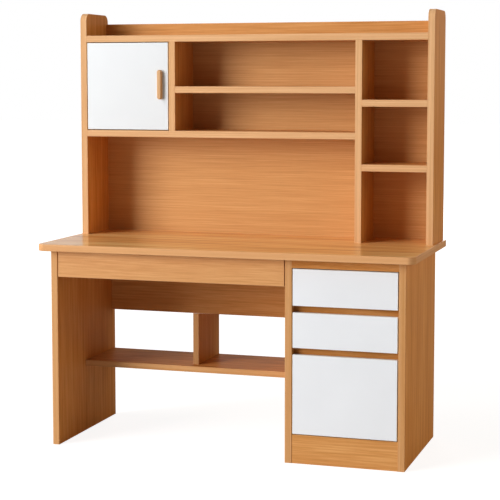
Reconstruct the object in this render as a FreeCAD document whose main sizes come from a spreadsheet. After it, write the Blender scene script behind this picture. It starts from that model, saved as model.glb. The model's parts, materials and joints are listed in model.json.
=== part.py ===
import FreeCAD, Part
import os
import Sketcher

os.makedirs("parts", exist_ok=True)
doc = FreeCAD.newDocument("student_desk")

# ---------------------------------------------------------------------------
# Driving dimensions, millimetres.  X runs to the right, the user sits at -Y,
# Z is up; the origin is on the floor under the middle of the desktop.
# ---------------------------------------------------------------------------
SIZES = {
    # overall
    "desktop_width": 1400,
    "desktop_depth": 600,
    "desk_height": 750,
    "total_height": 1600,
    # board thicknesses
    "board": 25,
    "shelf_board": 22,
    "front_board": 18,
    "drawer_board": 12,
    "back_board": 9,
    "bottom_board": 5,
    # desk carcass
    "side_overhang": 38,
    "front_overhang": 45,
    "rear_overhang": 15,
    "desktop_corner": 30,
    "desktop_rear_corner": 5,
    "desktop_arris": 3,
    "board_arris": 1.2,
    "pedestal_width": 430,
    "plinth_height": 103,
    "plinth_setback": 2,
    "header_height": 31,
    "rail_height": 36,
    "rail_setback": 28,
    "modesty_setback": 15,
    "modesty_height": 292,
    "foot_shelf_top": 274,
    "foot_shelf_setback": 246,
    "foot_divider_inset": 421,
    "foot_divider_rise": 37,
    "foot_divider_setback": 38,
    # drawer fronts: reveal round each front and the finger gaps between them
    "reveal": 3,
    "finger_gap": 24,
    "top_drawer_front": 130,
    "middle_drawer_front": 125,
    "wide_drawer_front": 95,
    # drawer boxes and their runners
    "drawer_length": 400,
    "wide_drawer_length": 400,
    "box_lift": 12,
    "box_drop": 30,
    "wide_box_lift": 10,
    "wide_box_drop": 20,
    "groove_depth": 5,
    "groove_lift": 8,
    "groove_play": 0.2,
    "runner_space": 13,
    "runner_height": 35,
    "runner_sheet": 1.5,
    "runner_play": 0.5,
    "runner_setback": 4,
    "runner_lift": 22,
    "wide_runner_lift": 12,
    # hutch
    "hutch_inset": 12,
    "hutch_depth": 212,
    "hutch_corner": 30,
    "top_shelf_drop": 85,
    "gallery_height": 50,
    "door_opening_width": 336,
    "door_opening_height": 335.5,
    "column_opening_width": 241,
    "upper_bay_height": 168,
    "column_upper_bay": 215.5,
    "column_middle_bay": 210.5,
    # door, its pivots, its catch and its handle
    "door_gap": 3,
    "pivot_inset": 19,
    "pivot_setback": 7.5,
    "pivot_pin": 5,
    "pivot_depth": 18,
    "bush_outer": 9,
    "bush_depth": 11,
    "bush_collar": 13,
    "collar_play": 0.3,
    "pivot_play": 0.05,
    "catch_length": 40,
    "catch_depth": 14,
    "catch_height": 12,
    "catch_inset": 60,
    "strike_sheet": 1,
    "strike_gap": 0.3,
    "handle_length": 111,
    "handle_width": 17,
    "handle_depth": 17,
    "handle_inset": 31,
    "handle_height": 171,
    "handle_edge": 4,
    "handle_screw_spacing": 64,
    "handle_screw": 4,
    "handle_screw_head": 8,
    "handle_screw_bite": 8,
    "screw_head_height": 2.5,
    # dowels
    "dowel_diameter": 8,
    "dowel_length": 28,
    "dowel_in_face": 11,
    "dowel_play": 0.05,
    "dowel_end_play": 1,
}

sheet = doc.addObject("Spreadsheet::Sheet", "dims")
for row, (alias, size) in enumerate(SIZES.items(), start=1):
    sheet.set(f"A{row}", alias)
    sheet.set(f"B{row}", str(size))
    sheet.setAlias(f"B{row}", alias)
doc.recompute()


def cell(alias):
    """An expression that reads one driving dimension from the sheet."""
    return f"dims.{alias}"


def add(*terms):
    """An expression for the sum of its terms."""
    return "(" + " + ".join(terms) + ")"


def sub(first, *rest):
    """An expression for the first term less all the others."""
    return "(" + " - ".join((first,) + rest) + ")"


def times(term, factor):
    """An expression for a term multiplied by a plain factor."""
    return f"({term} * {factor})"


def between(low, high, share):
    """An expression for the place a given share of the way from low to high."""
    return f"({low} + ({high} - {low}) * {share})"


# ---------------------------------------------------------------------------
# Places shared by several pieces, each an expression on the sheet.
# ---------------------------------------------------------------------------
BOARD = cell("board")
FLOOR = "0"
DESK_RIGHT = times(cell("desktop_width"), 0.5)
DESK_LEFT = times(DESK_RIGHT, -1)
DESK_REAR = times(cell("desktop_depth"), 0.5)
DESK_FRONT = times(DESK_REAR, -1)
DESK_TOP = cell("desk_height")
DESK_UNDER = sub(DESK_TOP, BOARD)

CASE_RIGHT = sub(DESK_RIGHT, cell("side_overhang"))
CASE_LEFT = times(CASE_RIGHT, -1)
CASE_FRONT = add(DESK_FRONT, cell("front_overhang"))
CASE_REAR = sub(DESK_REAR, cell("rear_overhang"))
LEG_INNER = add(CASE_LEFT, BOARD)
PEDESTAL_LEFT = sub(CASE_RIGHT, cell("pedestal_width"))
PEDESTAL_INNER_LEFT = add(PEDESTAL_LEFT, BOARD)
PEDESTAL_INNER_RIGHT = sub(CASE_RIGHT, BOARD)
FRONTS_REAR = add(CASE_FRONT, cell("front_board"))

PEDESTAL_BACK_FRONT = sub(CASE_REAR, cell("back_board"))
PLINTH_FRONT = add(CASE_FRONT, cell("plinth_setback"))
PLINTH_REAR = add(PLINTH_FRONT, cell("front_board"))
PEDESTAL_FLOOR = cell("plinth_height")
HEADER_BOTTOM = sub(DESK_UNDER, cell("header_height"))
RAIL_FRONT = add(CASE_FRONT, cell("rail_setback"))
RAIL_REAR = add(RAIL_FRONT, cell("front_board"))

# Drawer fronts stacked downward: two shallow ones and a deep one.
REVEAL = cell("reveal")
FRONT_1_TOP = sub(HEADER_BOTTOM, REVEAL)
FRONT_1_BOTTOM = sub(FRONT_1_TOP, cell("top_drawer_front"))
FRONT_2_TOP = sub(FRONT_1_BOTTOM, cell("finger_gap"))
FRONT_2_BOTTOM = sub(FRONT_2_TOP, cell("middle_drawer_front"))
FRONT_3_TOP = sub(FRONT_2_BOTTOM, cell("finger_gap"))
FRONT_3_BOTTOM = add(PEDESTAL_FLOOR, REVEAL)
WIDE_FRONT_TOP = sub(DESK_UNDER, REVEAL)
WIDE_FRONT_BOTTOM = sub(WIDE_FRONT_TOP, cell("wide_drawer_front"))

MODESTY_REAR = sub(CASE_REAR, cell("modesty_setback"))
MODESTY_FRONT = sub(MODESTY_REAR, cell("front_board"))
MODESTY_BOTTOM = sub(DESK_UNDER, cell("modesty_height"))
FOOT_SHELF_TOP = cell("foot_shelf_top")
FOOT_SHELF_BOTTOM = sub(FOOT_SHELF_TOP, cell("shelf_board"))
FOOT_SHELF_FRONT = add(CASE_FRONT, cell("foot_shelf_setback"))
FOOT_DIVIDER_FRONT = add(FOOT_SHELF_FRONT, cell("foot_divider_setback"))
FOOT_DIVIDER_TOP = add(MODESTY_BOTTOM, cell("foot_divider_rise"))
FOOT_DIVIDER_RIGHT = sub(PEDESTAL_LEFT, cell("foot_divider_inset"))
FOOT_DIVIDER_LEFT = sub(FOOT_DIVIDER_RIGHT, cell("shelf_board"))

HUTCH_RIGHT = sub(DESK_RIGHT, cell("hutch_inset"))
HUTCH_LEFT = times(HUTCH_RIGHT, -1)
HUTCH_INNER_LEFT = add(HUTCH_LEFT, BOARD)
HUTCH_INNER_RIGHT = sub(HUTCH_RIGHT, BOARD)
HUTCH_FRONT = sub(DESK_REAR, cell("hutch_depth"))
HUTCH_BACK_FRONT = sub(DESK_REAR, cell("back_board"))
HUTCH_TOP = cell("total_height")
TOP_SHELF_TOP = sub(HUTCH_TOP, cell("top_shelf_drop"))
TOP_SHELF_UNDER = sub(TOP_SHELF_TOP, BOARD)
GALLERY_FRONT = sub(DESK_REAR, cell("front_board"))
GALLERY_TOP = add(TOP_SHELF_TOP, cell("gallery_height"))
LOW_SHELF_TOP = sub(TOP_SHELF_UNDER, cell("door_opening_height"))
LOW_SHELF_UNDER = sub(LOW_SHELF_TOP, BOARD)
MIDDLE_SHELF_TOP = sub(TOP_SHELF_UNDER, cell("upper_bay_height"))
MIDDLE_SHELF_UNDER = sub(MIDDLE_SHELF_TOP, BOARD)
DOOR_DIVIDER_LEFT = add(HUTCH_INNER_LEFT, cell("door_opening_width"))
DOOR_DIVIDER_RIGHT = add(DOOR_DIVIDER_LEFT, BOARD)
COLUMN_DIVIDER_RIGHT = sub(HUTCH_INNER_RIGHT, cell("column_opening_width"))
COLUMN_DIVIDER_LEFT = sub(COLUMN_DIVIDER_RIGHT, BOARD)
COLUMN_HIGH_TOP = sub(TOP_SHELF_UNDER, cell("column_upper_bay"))
COLUMN_HIGH_UNDER = sub(COLUMN_HIGH_TOP, BOARD)
COLUMN_LOW_TOP = sub(COLUMN_HIGH_UNDER, cell("column_middle_bay"))
COLUMN_LOW_UNDER = sub(COLUMN_LOW_TOP, BOARD)

DOOR_LEFT = add(HUTCH_INNER_LEFT, cell("door_gap"))
DOOR_RIGHT = sub(DOOR_DIVIDER_LEFT, cell("door_gap"))
DOOR_BOTTOM = add(LOW_SHELF_TOP, cell("door_gap"))
DOOR_TOP = sub(TOP_SHELF_UNDER, cell("door_gap"))
DOOR_REAR = add(HUTCH_FRONT, cell("front_board"))
PIVOT_X = add(DOOR_LEFT, cell("pivot_inset"))
PIVOT_Y = add(HUTCH_FRONT, cell("pivot_setback"))
HANDLE_X = sub(DOOR_RIGHT, cell("handle_inset"))
HANDLE_Z = add(DOOR_BOTTOM, cell("handle_height"))

# Sub-parts by node name, and the bores drilled in each of them.
pieces = {}
bores = {}


def bind(obj, **expressions):
    """Bind properties to expressions; a double underscore stands for a dot."""
    for name, expression in expressions.items():
        obj.setExpression(name.replace("__", "."), expression)


def place(obj, x, y, z):
    """Bind the position of an object to three expressions."""
    bind(obj, Placement__Base__x=x, Placement__Base__y=y, Placement__Base__z=z)


def value(expression):
    """The present value of an expression."""
    return float(sheet.evalExpression(expression))


def box(name, low, high):
    """A plain block between two corners, each three expressions."""
    block = doc.addObject("Part::Box", name)
    bind(block, Length=sub(high[0], low[0]), Width=sub(high[1], low[1]), Height=sub(high[2], low[2]))
    place(block, *low)
    return block


def rod(name, radius, length, start, direction):
    """A cylinder from a start point, three expressions, along a unit direction."""
    cylinder = doc.addObject("Part::Cylinder", name)
    bind(cylinder, Radius=radius, Height=length)
    cylinder.Placement.Rotation = FreeCAD.Rotation(FreeCAD.Vector(0, 0, 1), direction)
    place(cylinder, *start)
    return cylinder


def group(name, members):
    """One object that holds several separate solids."""
    compound = doc.addObject("Part::Compound", name)
    compound.Links = members
    return compound


def cut(name, blank, tools):
    """A blank with one or more tools cut away."""
    result = doc.addObject("Part::Cut", name)
    result.Base = blank
    result.Tool = tools[0] if len(tools) == 1 else group(f"{name}_tools", tools)
    return result


def origin_plane(body, role):
    """One of the three planes of a body's own origin."""
    return next(f for f in body.Origin.OriginFeatures if f.Role == role)


def edges_where(feature, test):
    """Names of the feature's straight edges that pass a test of both end points."""
    names = []
    for number, edge in enumerate(feature.Shape.Edges, start=1):
        ends = [vertex.Point for vertex in edge.Vertexes]
        if len(ends) == 2 and test(*ends):
            names.append(f"Edge{number}")
    return names


def rectangle(sketch, width, depth):
    """Draw a rectangle from the sketch's origin, its two sides bound to expressions."""
    vector = FreeCAD.Vector
    side = 10.0
    corners = [vector(0, 0, 0), vector(side, 0, 0), vector(side, side, 0), vector(0, side, 0)]
    for start, end in zip(corners, corners[1:] + corners[:1]):
        sketch.addGeometry(Part.LineSegment(start, end), False)
    for line, direction in enumerate(("Horizontal", "Vertical", "Horizontal", "Vertical")):
        sketch.addConstraint(Sketcher.Constraint("Coincident", line, 2, (line + 1) % 4, 1))
        sketch.addConstraint(Sketcher.Constraint(direction, line))
    sketch.addConstraint(Sketcher.Constraint("Coincident", 0, 1, -1, 1))
    across = sketch.addConstraint(Sketcher.Constraint("DistanceX", 0, 1, 0, 2, side))
    upward = sketch.addConstraint(Sketcher.Constraint("DistanceY", 1, 1, 1, 2, side))
    sketch.setExpression(f"Constraints[{across}]", width)
    sketch.setExpression(f"Constraints[{upward}]", depth)


def fillet(body, name, test, radius):
    """Round the edges of a body's last feature whose ends pass a test."""
    tip = body.Tip
    rounding = body.newObject("PartDesign::Fillet", name)
    rounding.Base = (tip, edges_where(tip, test))
    bind(rounding, Radius=radius)
    doc.recompute()
    return rounding


def upright(start, end):
    """Whether an edge runs along Z."""
    return abs(start.x - end.x) + abs(start.y - end.y) < 0.01


def board(name, low, high):
    """A square-edged board between two corners: a rectangle padded upward."""
    body = doc.addObject("PartDesign::Body", f"{name}_blank")
    sketch = body.newObject("Sketcher::SketchObject", f"{name}_outline")
    sketch.AttachmentSupport = [(origin_plane(body, "XY_Plane"), "")]
    sketch.MapMode = "FlatFace"
    rectangle(sketch, sub(high[0], low[0]), sub(high[1], low[1]))
    pad = body.newObject("PartDesign::Pad", f"{name}_thickness")
    pad.Profile = sketch
    bind(pad, Length=sub(high[2], low[2]))
    place(body, *low)
    doc.recompute()
    return body


def banded_board(name, low, high, all_round=False):
    """A board with a banded front edge: the band's long arrises are eased.

    With all_round the four arrises of the front face are eased instead.
    """
    body = board(name, low, high)
    run = max(value(sub(high[0], low[0])), value(sub(high[2], low[2])))

    def on_front(start, end):
        flat = max(abs(start.y), abs(end.y)) < 0.01
        return flat and (all_round or start.distanceToPoint(end) > run - 0.01)

    fillet(body, f"{name}_arris", on_front, cell("board_arris"))
    return body


def keep(name, piece):
    """Register the object that makes a node."""
    pieces[name] = piece
    bores[name] = []
    return piece


# ---------------------------------------------------------------------------
# Desk: desktop, legs, pedestal carcass and foot shelf
# ---------------------------------------------------------------------------
def make_desktop():
    """The desktop, its front corners rounded and its rim softened all round."""
    top = board("desktop", (DESK_LEFT, DESK_FRONT, DESK_UNDER), (DESK_RIGHT, DESK_REAR, DESK_TOP))
    rear = value(cell("desktop_depth"))

    def front_corner(start, end):
        return upright(start, end) and start.y < 0.01

    def rear_corner(start, end):
        return upright(start, end) and start.y > rear - 0.01

    def front_rim(start, end):
        return max(start.y, end.y) < 0.01 and abs(start.z - end.z) < 0.01

    fillet(top, "desktop_front_corners", front_corner, cell("desktop_corner"))
    fillet(top, "desktop_rear_corners", rear_corner, cell("desktop_rear_corner"))
    fillet(top, "desktop_rim", front_rim, cell("desktop_arris"))
    keep("desktop", top)


def make_desk_boards():
    """Every board of the desk, from the floor to the underside of the desktop."""
    in_left, in_right = PEDESTAL_INNER_LEFT, PEDESTAL_INNER_RIGHT
    uprights = {
        "left_leg_panel": (CASE_LEFT, LEG_INNER),
        "pedestal_inner_side": (PEDESTAL_LEFT, in_left),
        "pedestal_outer_side": (in_right, CASE_RIGHT),
    }
    for name, (left, right) in uprights.items():
        keep(name, banded_board(name, (left, CASE_FRONT, FLOOR), (right, CASE_REAR, DESK_UNDER)))

    banded = {
        "pedestal_header_rail": ((in_left, CASE_FRONT, HEADER_BOTTOM), (in_right, FRONTS_REAR, DESK_UNDER)),
        "pedestal_plinth": ((in_left, PLINTH_FRONT, FLOOR), (in_right, PLINTH_REAR, PEDESTAL_FLOOR)),
        "foot_shelf": (
            (LEG_INNER, FOOT_SHELF_FRONT, FOOT_SHELF_BOTTOM),
            (PEDESTAL_LEFT, MODESTY_REAR, FOOT_SHELF_TOP),
        ),
    }
    for name, (low, high) in banded.items():
        keep(name, banded_board(name, low, high))

    plain = {
        "pedestal_bottom": (
            (in_left, PLINTH_REAR, sub(PEDESTAL_FLOOR, cell("front_board"))),
            (in_right, PEDESTAL_BACK_FRONT, PEDESTAL_FLOOR),
        ),
        "pedestal_back": ((in_left, PEDESTAL_BACK_FRONT, FLOOR), (in_right, CASE_REAR, DESK_UNDER)),
        "modesty_panel": (
            (LEG_INNER, MODESTY_FRONT, MODESTY_BOTTOM),
            (PEDESTAL_LEFT, MODESTY_REAR, DESK_UNDER),
        ),
    }
    for name, (low, high) in plain.items():
        keep(name, board(name, low, high))

    for name, above, below in (
        ("pedestal_upper_rail", FRONT_1_BOTTOM, FRONT_2_TOP),
        ("pedestal_lower_rail", FRONT_2_BOTTOM, FRONT_3_TOP),
    ):
        low_z = sub(between(below, above, 0.5), times(cell("rail_height"), 0.5))
        low = (in_left, RAIL_FRONT, low_z)
        high = (in_right, RAIL_REAR, add(low_z, cell("rail_height")))
        keep(name, board(name, low, high))


def make_foot_divider():
    """The upright on the foot shelf: its top falls to the rear and runs level under the modesty panel."""
    body = doc.addObject("PartDesign::Body", "foot_divider_blank")
    sketch = body.newObject("Sketcher::SketchObject", "foot_divider_outline")
    sketch.AttachmentSupport = [(origin_plane(body, "YZ_Plane"), "")]
    sketch.MapMode = "FlatFace"
    vector = FreeCAD.Vector
    corners = [vector(0, 0, 0), vector(20, 0, 0), vector(20, 10, 0), vector(18, 10, 0), vector(0, 14, 0)]
    for start, end in zip(corners, corners[1:] + corners[:1]):
        sketch.addGeometry(Part.LineSegment(start, end), False)
    for line in range(5):
        sketch.addConstraint(Sketcher.Constraint("Coincident", line, 2, (line + 1) % 5, 1))
    for line, direction in ((0, "Horizontal"), (1, "Vertical"), (2, "Horizontal"), (4, "Vertical")):
        sketch.addConstraint(Sketcher.Constraint(direction, line))
    sketch.addConstraint(Sketcher.Constraint("Coincident", 0, 1, -1, 1))
    for kind, line, first, last, start_size, size in (
        ("DistanceX", 0, 1, 2, 20, sub(MODESTY_REAR, FOOT_DIVIDER_FRONT)),
        ("DistanceY", 1, 1, 2, 10, sub(MODESTY_BOTTOM, FOOT_SHELF_TOP)),
        ("DistanceX", 2, 2, 1, 2, sub(MODESTY_REAR, MODESTY_FRONT)),
        ("DistanceY", 4, 2, 1, 14, sub(FOOT_DIVIDER_TOP, FOOT_SHELF_TOP)),
    ):
        number = sketch.addConstraint(Sketcher.Constraint(kind, line, first, line, last, start_size))
        sketch.setExpression(f"Constraints[{number}]", size)
    pad = body.newObject("PartDesign::Pad", "foot_divider_thickness")
    pad.Profile = sketch
    bind(pad, Length=sub(FOOT_DIVIDER_RIGHT, FOOT_DIVIDER_LEFT))
    place(body, FOOT_DIVIDER_LEFT, FOOT_DIVIDER_FRONT, FOOT_SHELF_TOP)
    doc.recompute()

    def front_arris(start, end):
        return upright(start, end) and start.y < 0.01

    fillet(body, "foot_divider_arris", front_arris, cell("board_arris"))
    keep("foot_divider", body)


# ---------------------------------------------------------------------------
# Drawers: an eased front, two grooved sides, a back that stands on the bottom,
# and a C-section runner each side that slides in its fixed partner.
# ---------------------------------------------------------------------------
def make_runner_side(name, left, right, front, rear, low_z):
    """One nested runner: returns the fixed channel and the sliding channel.

    left is the fixed wall's face and right the drawer's; both channels open
    toward each other, so on the far side of a drawer the two faces swap.
    """
    thickness, play = cell("runner_sheet"), cell("runner_play")
    toward = 1 if value(right) > value(left) else -1

    def step(start, *amounts):
        return add(start, *[times(amount, toward) for amount in amounts])

    def back_step(start, *amounts):
        return sub(start, *[times(amount, toward) for amount in amounts])

    def span(first, second, bottom, top, label):
        near, far = (first, second) if toward > 0 else (second, first)
        return box(label, (near, front, bottom), (far, rear, top))

    high_z = add(low_z, cell("runner_height"))
    fixed_end = back_step(right, thickness, play)
    fixed = cut(
        f"{name}_fixed",
        span(left, fixed_end, low_z, high_z, f"{name}_fixed_blank"),
        [span(step(left, thickness), fixed_end, add(low_z, thickness), sub(high_z, thickness),
              f"{name}_fixed_hollow")],
    )
    inner_low, inner_high = add(low_z, thickness, play), sub(high_z, thickness, play)
    sliding_end = step(left, thickness, play)
    sliding = cut(
        f"{name}_sliding",
        span(sliding_end, right, inner_low, inner_high, f"{name}_sliding_blank"),
        [span(sliding_end, back_step(right, thickness), add(inner_low, thickness),
              sub(inner_high, thickness), f"{name}_sliding_hollow")],
    )
    return fixed, sliding


def make_drawer(name, opening, front_z, lift, drop, runner_lift, length):
    """One drawer between two walls; returns its two fixed runner channels.

    opening is (left wall, right wall), front_z (bottom, top) of the front.
    """
    left_wall, right_wall = opening
    box_left = add(left_wall, cell("runner_space"))
    box_right = sub(right_wall, cell("runner_space"))
    inner_left = add(box_left, cell("drawer_board"))
    inner_right = sub(box_right, cell("drawer_board"))
    low_z, high_z = add(front_z[0], lift), sub(front_z[1], drop)
    rear = add(FRONTS_REAR, length)
    depth, play = cell("groove_depth"), cell("groove_play")
    groove_low = add(low_z, cell("groove_lift"))
    bottom_low = add(groove_low, play)
    bottom_high = add(bottom_low, cell("bottom_board"))
    groove_high = add(bottom_high, play)
    groove_left, groove_right = sub(inner_left, depth), add(inner_right, depth)
    groove_front = sub(FRONTS_REAR, depth)

    groove = box(f"{name}_groove", (groove_left, groove_front, groove_low), (groove_right, rear, groove_high))
    front = banded_board(
        f"{name}_front",
        (add(left_wall, REVEAL), CASE_FRONT, front_z[0]),
        (sub(right_wall, REVEAL), FRONTS_REAR, front_z[1]),
        all_round=True,
    )
    keep(f"{name}_front", cut(f"{name}_front_grooved", front, [groove]))
    for side, left, right in (("left", box_left, inner_left), ("right", inner_right, box_right)):
        blank = board(f"{name}_{side}_side", (left, FRONTS_REAR, low_z), (right, rear, high_z))
        keep(f"{name}_{side}_side", cut(f"{name}_{side}_side_grooved", blank, [groove]))
    back_front = sub(rear, cell("drawer_board"))
    keep(f"{name}_back", board(
        f"{name}_back", (inner_left, back_front, bottom_high), (inner_right, rear, high_z)))
    keep(f"{name}_bottom", board(
        f"{name}_bottom",
        (add(groove_left, play), add(groove_front, play), bottom_low),
        (sub(groove_right, play), rear, bottom_high),
    ))

    runner_front = add(FRONTS_REAR, cell("runner_setback"))
    runner_low = add(low_z, runner_lift)
    fixed_left, sliding_left = make_runner_side(
        f"{name}_runner_left", left_wall, box_left, runner_front, rear, runner_low)
    fixed_right, sliding_right = make_runner_side(
        f"{name}_runner_right", right_wall, box_right, runner_front, rear, runner_low)
    keep(f"{name}_runners", group(f"{name}_sliding_channels", [sliding_left, sliding_right]))
    return [fixed_left, fixed_right]


def make_drawers():
    """The wide drawer under the desktop and the three drawers of the pedestal."""
    pedestal = (PEDESTAL_INNER_LEFT, PEDESTAL_INNER_RIGHT)
    stack = {
        "top_drawer": (FRONT_1_BOTTOM, FRONT_1_TOP),
        "middle_drawer": (FRONT_2_BOTTOM, FRONT_2_TOP),
        "bottom_drawer": (FRONT_3_BOTTOM, FRONT_3_TOP),
    }
    fixed = []
    for name, front_z in stack.items():
        fixed += make_drawer(
            name, pedestal, front_z, cell("box_lift"), cell("box_drop"),
            cell("runner_lift"), cell("drawer_length"),
        )
    keep("pedestal_runner_channels", group("pedestal_fixed_channels", fixed))
    fixed = make_drawer(
        "wide_drawer", (LEG_INNER, PEDESTAL_LEFT), (WIDE_FRONT_BOTTOM, WIDE_FRONT_TOP),
        cell("wide_box_lift"), cell("wide_box_drop"), cell("wide_runner_lift"),
        cell("wide_drawer_length"),
    )
    keep("wide_runner_channels", group("wide_fixed_channels", fixed))


# ---------------------------------------------------------------------------
# Hutch
# ---------------------------------------------------------------------------
def make_hutch_side(name, left, right):
    """A side panel whose two top corners are rounded and whose rim is eased."""
    side = board(name, (left, HUTCH_FRONT, DESK_TOP), (right, DESK_REAR, HUTCH_TOP))
    top = value(sub(HUTCH_TOP, DESK_TOP))

    def top_corner(start, end):
        return min(start.z, end.z) > top - 0.01 and abs(start.y - end.y) < 0.01

    def front_arris(start, end):
        return upright(start, end) and abs(start.y) < 0.01

    fillet(side, f"{name}_corners", top_corner, cell("hutch_corner"))
    fillet(side, f"{name}_arris", front_arris, cell("board_arris"))
    keep(name, side)


def make_hutch():
    """The two sides, the dividers, the shelves, the back and the gallery rail."""
    make_hutch_side("hutch_left_side", HUTCH_LEFT, HUTCH_INNER_LEFT)
    make_hutch_side("hutch_right_side", HUTCH_INNER_RIGHT, HUTCH_RIGHT)
    boards = {
        "hutch_top_shelf": (HUTCH_INNER_LEFT, HUTCH_INNER_RIGHT, TOP_SHELF_UNDER, TOP_SHELF_TOP, DESK_REAR),
        "hutch_low_shelf": (
            HUTCH_INNER_LEFT, COLUMN_DIVIDER_LEFT, LOW_SHELF_UNDER, LOW_SHELF_TOP, HUTCH_BACK_FRONT),
        "hutch_middle_shelf": (
            DOOR_DIVIDER_RIGHT, COLUMN_DIVIDER_LEFT, MIDDLE_SHELF_UNDER, MIDDLE_SHELF_TOP, HUTCH_BACK_FRONT),
        "column_upper_shelf": (
            COLUMN_DIVIDER_RIGHT, HUTCH_INNER_RIGHT, COLUMN_HIGH_UNDER, COLUMN_HIGH_TOP, HUTCH_BACK_FRONT),
        "column_lower_shelf": (
            COLUMN_DIVIDER_RIGHT, HUTCH_INNER_RIGHT, COLUMN_LOW_UNDER, COLUMN_LOW_TOP, HUTCH_BACK_FRONT),
        "door_divider": (
            DOOR_DIVIDER_LEFT, DOOR_DIVIDER_RIGHT, LOW_SHELF_TOP, TOP_SHELF_UNDER, HUTCH_BACK_FRONT),
        "column_divider": (
            COLUMN_DIVIDER_LEFT, COLUMN_DIVIDER_RIGHT, DESK_TOP, TOP_SHELF_UNDER, HUTCH_BACK_FRONT),
    }
    for name, (left, right, bottom, top, rear) in boards.items():
        keep(name, banded_board(name, (left, HUTCH_FRONT, bottom), (right, rear, top)))
    keep("hutch_back", board(
        "hutch_back", (HUTCH_INNER_LEFT, HUTCH_BACK_FRONT, DESK_TOP),
        (HUTCH_INNER_RIGHT, DESK_REAR, TOP_SHELF_UNDER)))
    keep("gallery_rail", board(
        "gallery_rail", (HUTCH_INNER_LEFT, GALLERY_FRONT, TOP_SHELF_TOP),
        (HUTCH_INNER_RIGHT, DESK_REAR, GALLERY_TOP)))


# ---------------------------------------------------------------------------
# Door with its pivots, catch and handle
# ---------------------------------------------------------------------------
def make_door():
    """The inset door, eased round its front face."""
    door = banded_board(
        "door_panel", (DOOR_LEFT, HUTCH_FRONT, DOOR_BOTTOM), (DOOR_RIGHT, DOOR_REAR, DOOR_TOP),
        all_round=True)
    keep("door_panel", door)


def make_pivots():
    """Two pins fixed in the door's ends, each turning in a collared bush in a shelf."""
    up = FreeCAD.Vector(0, 0, 1)
    half = 0.5
    play = cell("pivot_play")
    pin_radius = times(cell("pivot_pin"), half)
    bush_radius = times(cell("bush_outer"), half)
    collar = sub(cell("door_gap"), cell("collar_play"))
    reach = sub(cell("bush_depth"), cell("dowel_end_play"))
    pins, bushes = [], []
    for end, shelf, shelf_face, door_end, outward in (
        ("lower", "hutch_low_shelf", LOW_SHELF_TOP, DOOR_BOTTOM, -1),
        ("upper", "hutch_top_shelf", TOP_SHELF_UNDER, DOOR_TOP, 1),
    ):
        direction = up * outward

        def along(name, radius, start, backward, forward):
            """A rod about the pivot, from backward of start to forward of it."""
            base = (PIVOT_X, PIVOT_Y, sub(start, times(backward, outward)))
            return rod(name, radius, add(backward, forward), base, direction)

        pins.append(along(
            f"{end}_pin", pin_radius, door_end, cell("pivot_depth"), add(cell("door_gap"), reach)))
        stem = along(f"{end}_bush_stem", bush_radius, shelf_face, collar, cell("bush_depth"))
        flange = along(
            f"{end}_bush_flange", times(cell("bush_collar"), half), shelf_face, collar, FLOOR)
        body = doc.addObject("Part::Fuse", f"{end}_bush_body")
        body.Base, body.Tool = stem, flange
        eye = along(
            f"{end}_bush_eye", add(pin_radius, play), shelf_face, cell("door_gap"), cell("bush_depth"))
        bushes.append(cut(f"{end}_bush", body, [eye]))
        bores[shelf].append(along(
            f"{end}_bush_seat", add(bush_radius, play), shelf_face, FLOOR, cell("bush_depth")))
        bores["door_panel"].append(along(
            f"{end}_pin_seat", add(pin_radius, play), door_end,
            add(cell("pivot_depth"), cell("dowel_end_play")), FLOOR))
    keep("door_pivot_pins", group("pivot_pins", pins))
    keep("door_pivot_bushes", group("pivot_bushes", bushes))


def make_catch():
    """A magnetic catch under the top shelf and its strike plate on the door."""
    right = sub(DOOR_RIGHT, cell("catch_inset"))
    left = sub(right, cell("catch_length"))
    strike_rear = add(DOOR_REAR, cell("strike_sheet"))
    catch_front = add(strike_rear, cell("strike_gap"))
    low_z = sub(TOP_SHELF_UNDER, cell("catch_height"))
    keep("door_catch", board(
        "door_catch", (left, catch_front, low_z),
        (right, add(catch_front, cell("catch_depth")), TOP_SHELF_UNDER)))
    keep("catch_strike", board(
        "catch_strike", (left, DOOR_REAR, sub(DOOR_TOP, cell("catch_height"))),
        (right, strike_rear, DOOR_TOP)))


def make_handle():
    """A solid wooden pull with rounded ends, and the two screws that hold it."""
    half_width, half_length = times(cell("handle_width"), 0.5), times(cell("handle_length"), 0.5)
    left, right = sub(HANDLE_X, half_width), add(HANDLE_X, half_width)
    bottom, top = sub(HANDLE_Z, half_length), add(HANDLE_Z, half_length)
    face = sub(HUTCH_FRONT, cell("handle_depth"))
    pull = board("door_handle", (left, face, bottom), (right, HUTCH_FRONT, top))

    def end_corner(start, end):
        return abs(start.x - end.x) + abs(start.z - end.z) < 0.01

    def face_rim(start, end):
        return max(start.y, end.y) < 0.01

    fillet(pull, "door_handle_ends", end_corner, times(cell("handle_width"), 0.49))
    fillet(pull, "door_handle_rim", face_rim, cell("handle_edge"))
    keep("door_handle", pull)

    forward = FreeCAD.Vector(0, -1, 0)
    radius = times(cell("handle_screw"), 0.5)
    hole = add(radius, cell("dowel_play"))
    screws = []
    for end, side in (("lower", -0.5), ("upper", 0.5)):
        z = add(HANDLE_Z, times(cell("handle_screw_spacing"), side))
        start = (HANDLE_X, DOOR_REAR, z)
        through = add(cell("front_board"), cell("handle_screw_bite"))
        shank = rod(f"{end}_screw_shank", radius, through, start, forward)
        head_start = (HANDLE_X, add(DOOR_REAR, cell("screw_head_height")), z)
        head = rod(
            f"{end}_screw_head", times(cell("handle_screw_head"), 0.5),
            cell("screw_head_height"), head_start, forward)
        screw = doc.addObject("Part::Fuse", f"{end}_handle_screw")
        screw.Base, screw.Tool = shank, head
        screws.append(screw)
        bore = rod(f"{end}_screw_hole", hole, add(through, cell("dowel_end_play")), start, forward)
        bores["door_panel"].append(bore)
        bores["door_handle"].append(bore)
    keep("handle_screws", group("screws", screws))


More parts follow.
